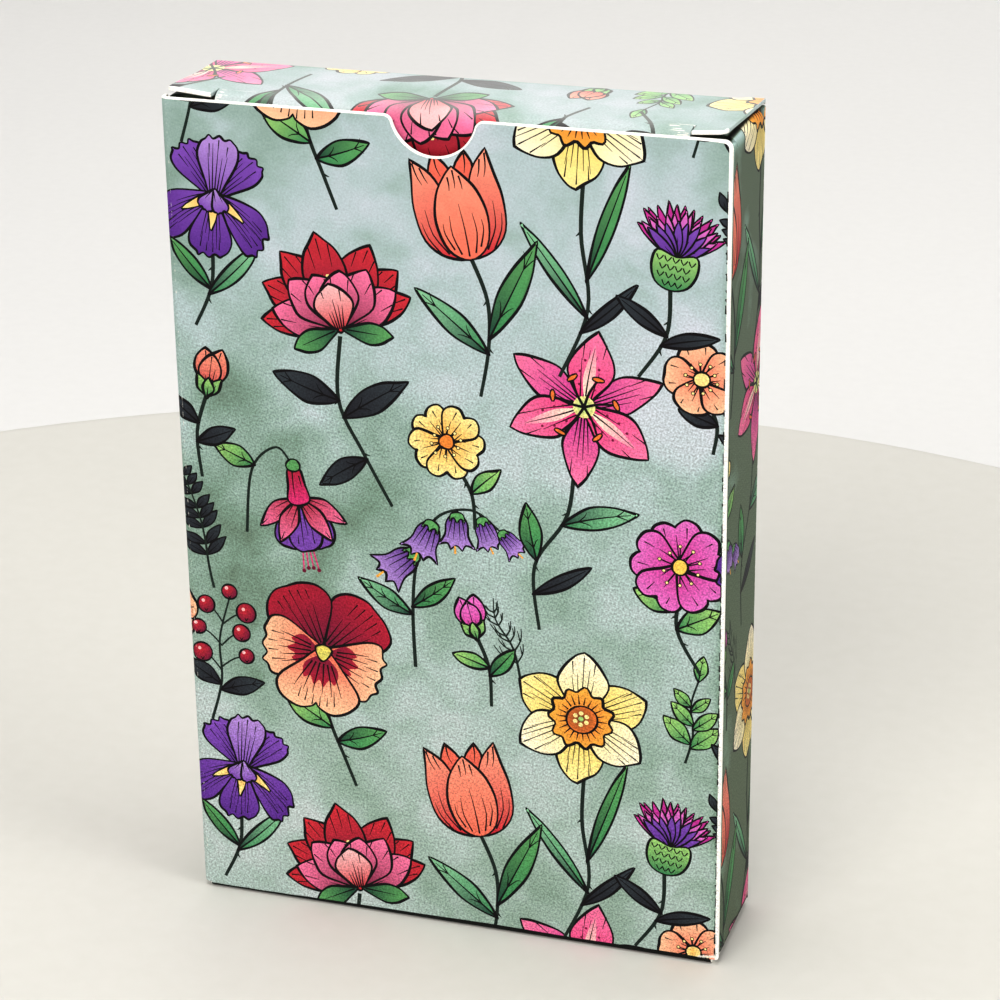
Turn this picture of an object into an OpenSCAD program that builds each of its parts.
// Closed paperboard tuck carton with a deck of cards inside.
// Front panel faces -Y, lid crease runs along X at the back, origin at the middle of the base.

/* [Carton] */
// Outside width of the carton
box_w = 60; // [59:0.5:64]
// Outside depth of the carton
box_d = 13.8; // [13.8:0.1:18]
// Height of the front panel's cut top edge
box_h = 92; // [91:0.5:100]
// Thickness of the paperboard
board = 0.4; // [0.3:0.05:0.4]
// Outside radius of the folds
fold_r = 0.6; // [0.5:0.1:0.8]
// Radius of the front panel's cut corners at the glued edge
cut_corner_r = 0.9; // [0.4:0.1:2]
// Width of the glue flap behind the front panel
glue_w = 9.5; // [6:0.5:14]

/* [Thumb notch] */
// Distance of the notch from the middle of the front panel
notch_x = -0.6; // [-3:0.1:3]
// Radius of the half-moon
notch_r = 4.5; // [3:0.1:7]
// Height of the half-moon's centre above the cut edge
notch_up = 0.5; // [0:0.1:1.5]
// Radius of the notch's rounded shoulders
shoulder_r = 1; // [0.5:0.1:2]

/* [Lid] */
// Width of the lid panel
lid_w = 58.4; // [56:0.2:58.8]
// Width of the tuck flap
tuck_w = 50.6; // [46:0.2:51]
// Length of the tuck flap along its curve
tuck_len = 8.5; // [6:0.1:8.5]
// Radius of the tuck flap's curl
tuck_curl_r = 17.5; // [17:0.5:40]
// Radius of the tuck flap's lower corners
tuck_corner_r = 5; // [2:0.5:6]
// Width of each slit beside the tuck flap
slit_w = 0.4; // [0.2:0.05:0.6]

/* [Dust flaps] */
// Length of each dust flap from its fold
dust_len = 9; // [6:0.5:9]

/* [Cards] */
// Number of cards
card_count = 36; // [24:1:36]
// Width of a card
card_w = 56; // [52:0.5:57]
// Height of a card
card_h = 88; // [80:0.5:88]
// Thickness of a card
card_t = 0.275; // [0.2:0.005:0.275]
// Air between two neighbouring cards
card_gap = 0.01; // [0.005:0.005:0.01]
// Corner radius of a card
card_r = 4; // [2:0.5:6]

/* [Hidden] */
$fn = 96;
hw = box_w / 2;
hd = box_d / 2;
bead_r = board / 2;
crease_gap = 0.35;
tuck_gap = 0.55;
running_gap = 0.2;
layer_2 = board;
layer_3 = 2 * board;
lid_bottom = box_h + 0.1;
lid_mid = lid_bottom + board / 2;
dust_mid = box_h - 0.1 - board / 2;
lid_axis_y = hd - board / 2;
tuck_axis_y = -hd + board + running_gap + board / 2;
side_axis_x = hw - board / 2;
glue_low = 3;
glue_high = box_h - 10;
deck_back = hd - board - running_gap;
card_low = 3 * board + 0.05;
card_pitch = card_t + card_gap;

function card_name(i) = str(i < 10 ? "card_0" : "card_", i);
function card_front(i) = deck_back - (card_count - i) * card_pitch - card_t;

print_ground = "#A9C4BA";
print_side = "#93AB9C";
raw_board = "#EFECE4";
card_stock = "#F6F3EA";

// Box between two corners
module slab(low, high) {
    translate(low) cube(high - low);
}

// Quarter of a folded strip, seen along the fold, in the first quadrant
module fold_section() {
    intersection() {
        difference() {
            circle(r = fold_r);
            circle(r = fold_r - board);
        }
        square(fold_r);
    }
}

// Upright fold at (x, y)
module upright_fold(x, y, turn, low, high) {
    translate([x, y, low]) linear_extrude(high - low) rotate(turn) fold_section();
}

// Fold along X at (y, z)
module cross_fold(y, z, turn, half_length) {
    translate([-half_length, y, z]) rotate([90, 0, 90])
        linear_extrude(2 * half_length) rotate(turn) fold_section();
}

// Fold along Y at (x, z)
module depth_fold(x, z, turn, half_length) {
    translate([x, half_length, z]) rotate([90, 0, 0])
        linear_extrude(2 * half_length) rotate(turn) fold_section();
}

// Waste left outside a rounded corner, in the first quadrant
module corner_waste(r) {
    difference() {
        square(r + 0.1);
        circle(r = r);
    }
}

// Half-moon with shoulders that run into a straight edge along X
module notch_outline() {
    reach = notch_r + shoulder_r;
    drop = notch_up + shoulder_r;
    shoulder_x = sqrt(reach * reach - drop * drop);
    touch_z = notch_up - drop * notch_r / reach;
    translate([0, notch_up]) circle(r = notch_r);
    difference() {
        translate([-shoulder_x, touch_z]) square([2 * shoulder_x, 2 - touch_z]);
        for (s = [-1, 1]) translate([s * shoulder_x, -shoulder_r]) circle(r = shoulder_r);
    }
}

// Card with four rounded corners, standing on y = 0
module card_outline() {
    translate([-card_w / 2 + card_r, 0]) square([card_w - 2 * card_r, card_h]);
    translate([-card_w / 2, card_r]) square([card_w, card_h - 2 * card_r]);
    for (x = [-1, 1], y = [card_r, card_h - card_r])
        translate([x * (card_w / 2 - card_r), y]) circle(r = card_r);
}

// Front panel: cut along the top with the thumb notch, and along the glued right edge
module front_panel() {
    left = -hw + fold_r;
    right = hw - 0.05;
    low = fold_r;
    color(print_ground)
    translate([0, -hd + board, 0]) rotate([90, 0, 0]) linear_extrude(board)
    difference() {
        translate([left, low]) square([right - left, box_h - low]);
        translate([notch_x, box_h]) notch_outline();
        translate([right - cut_corner_r, box_h - cut_corner_r]) corner_waste(cut_corner_r);
        translate([right - cut_corner_r, low + cut_corner_r]) mirror([0, 1]) corner_waste(cut_corner_r);
    }
}

// Back panel, with the lid's crease along its top
module back_panel() {
    color(print_ground) {
        slab([-hw + fold_r, hd - board, layer_2 + fold_r], [hw - fold_r, hd, lid_mid]);
        translate([-lid_w / 2, lid_axis_y, lid_mid]) rotate([0, 90, 0])
            cylinder(r = bead_r, h = lid_w);
    }
}

// Left side panel with both upright folds and the dust flap's crease on top
module left_side_panel() {
    color(print_side) {
        slab([-hw, -hd + fold_r, layer_3 + fold_r], [-hw + board, hd - fold_r, dust_mid]);
        upright_fold(-hw + fold_r, -hd + fold_r, 180, fold_r, dust_mid);
        upright_fold(-hw + fold_r, hd - fold_r, 90, layer_2 + fold_r, dust_mid);
        translate([-side_axis_x, hd - 1.2, dust_mid]) rotate([90, 0, 0])
            cylinder(r = bead_r, h = box_d - 2.4);
    }
}

// Right side panel: folded at the back, and running into the glue flap at the front
module right_side_panel() {
    front = -hd + board + fold_r;
    color(print_side) {
        slab([hw - board, front, layer_3 + fold_r], [hw, hd - fold_r, dust_mid]);
        upright_fold(hw - fold_r, hd - fold_r, 0, layer_2 + fold_r, dust_mid);
        slab([hw - board, -hd + board + 0.05, glue_high], [hw, front, dust_mid]);
        slab([hw - board, -hd + board + 0.05, layer_3 + fold_r], [hw, front, glue_low]);
        translate([side_axis_x, hd - 1.2, dust_mid]) rotate([90, 0, 0])
            cylinder(r = bead_r, h = box_d - 2.6);
    }
}

// Glue flap: folded off the right side panel and stuck behind the front panel
module glue_flap() {
    root = hw - fold_r;
    color(raw_board) {
        upright_fold(root, -hd + board + fold_r, -90, glue_low, glue_high);
        translate([0, -hd + 2 * board, 0]) rotate([90, 0, 0]) linear_extrude(board)
            polygon([[root, glue_low], [root, glue_high],
                     [root - glue_w, glue_high - 4], [root - glue_w, glue_low + 4]]);
    }
}

// Outer bottom flap: folded back from the front panel, the face the carton stands on
module bottom_outer_flap() {
    color(print_ground) {
        cross_fold(-hd + fold_r, fold_r, 180, hw - fold_r - 0.2);
        slab([-hw + fold_r + 0.2, -hd + fold_r, 0], [hw - fold_r - 0.2, hd - 0.7, board]);
    }
}

// Inner bottom flap: folded forward from the back panel, glued on the outer one
module bottom_inner_flap() {
    color(raw_board) {
        cross_fold(hd - fold_r, layer_2 + fold_r, -90, hw - fold_r - 0.2);
        slab([-hw + fold_r + 0.2, -hd + 1.3, layer_2], [hw - fold_r - 0.2, hd - fold_r, layer_2 + board]);
    }
}

// Bottom side flap, drawn for the left side
module bottom_side_flap() {
    root = -hw + fold_r;
    depth_fold(root, layer_3 + fold_r, 180, hd - 0.7);
    translate([0, 0, layer_3]) linear_extrude(board)
        polygon([[root, -hd + 0.7], [root + 14, -hd + 2], [root + 15.5, -hd + 3.5],
                 [root + 15.5, hd - 3.5], [root + 14, hd - 2], [root, hd - 0.7]]);
}

module bottom_left_flap() {
    color(raw_board) bottom_side_flap();
}

module bottom_right_flap() {
    color(raw_board) mirror([1, 0, 0]) bottom_side_flap();
}

// Lid panel with a corner ear on each side of the tuck flap's crease
module lid_panel() {
    half = lid_w / 2;
    crease = tuck_w / 2 + 0.2;
    rear = lid_axis_y - crease_gap;
    ear_front = tuck_axis_y - bead_r;
    color(print_ground) {
        translate([0, 0, lid_bottom]) linear_extrude(board)
        difference() {
            translate([-half, ear_front]) square([2 * half, rear - ear_front]);
            translate([-crease - slit_w, ear_front - 1]) square([2 * (crease + slit_w), 1 + bead_r]);
            for (s = [-1, 1])
                translate([s * (crease + slit_w / 2) - slit_w / 2, ear_front - 1]) square([slit_w, 2.2]);
            translate([half - 1, ear_front + 1]) mirror([0, 1]) corner_waste(1);
            mirror([1, 0]) translate([half - 1, ear_front + 1]) mirror([0, 1]) corner_waste(1);
            translate([half - 0.6, rear - 0.6]) corner_waste(0.6);
            mirror([1, 0]) translate([half - 0.6, rear - 0.6]) corner_waste(0.6);
        }
        translate([-crease, tuck_axis_y, lid_mid]) rotate([0, 90, 0])
            cylinder(r = bead_r, h = 2 * crease);
    }
}

// Tuck flap: curled a little inward, with rounded lower corners
module tuck_flap() {
    top = lid_mid - tuck_gap;
    sweep = (tuck_len - tuck_gap) / tuck_curl_r * 180 / PI;
    drop = tuck_curl_r * sin(sweep);
    far = 2 * tuck_curl_r;
    color(print_ground)
    intersection() {
        translate([-tuck_w / 2, tuck_axis_y + tuck_curl_r, top]) rotate([90, 0, 90])
            linear_extrude(tuck_w)
            intersection() {
                difference() {
                    circle(r = tuck_curl_r + board / 2);
                    circle(r = tuck_curl_r - board / 2);
                }
                polygon([[0, 0], [-far, 0], [-far * cos(sweep), -far * sin(sweep)]]);
            }
        translate([0, hd, 0]) rotate([90, 0, 0]) linear_extrude(box_d) {
            translate([-tuck_w / 2, top - drop + tuck_corner_r - 0.1])
                square([tuck_w, drop - tuck_corner_r + 0.2]);
            translate([-tuck_w / 2 + tuck_corner_r, top - drop - 0.5])
                square([tuck_w - 2 * tuck_corner_r, drop]);
            for (s = [-1, 1])
                translate([s * (tuck_w / 2 - tuck_corner_r), top - drop + tuck_corner_r - 0.1])
                    circle(r = tuck_corner_r);
        }
    }
}

// Dust flap, drawn for the right side, with a slanted rear edge
module dust_flap() {
    root = side_axis_x - 0.3;
    tip = side_axis_x - dust_len;
    translate([0, 0, dust_mid - board / 2]) linear_extrude(board)
        polygon([[root, hd - 1.3], [root, -hd + 1.6], [tip + 1, -hd + 3.8],
                 [tip, -hd + 4.3], [tip, -hd + 6.1]]);
}

module left_dust_flap() {
    color(raw_board) mirror([1, 0, 0]) dust_flap();
}

module right_dust_flap() {
    color(raw_board) dust_flap();
}

// One card of the deck, counted from the front
module card(i) {
    color(card_stock)
    translate([0, card_front(i) + card_t, card_low]) rotate([90, 0, 0])
        linear_extrude(card_t) card_outline();
}

front_panel();
back_panel();
left_side_panel();
right_side_panel();
glue_flap();
bottom_outer_flap();
bottom_inner_flap();
bottom_left_flap();
bottom_right_flap();
lid_panel();
tuck_flap();
left_dust_flap();
right_dust_flap();
for (i = [1:card_count]) card(i);
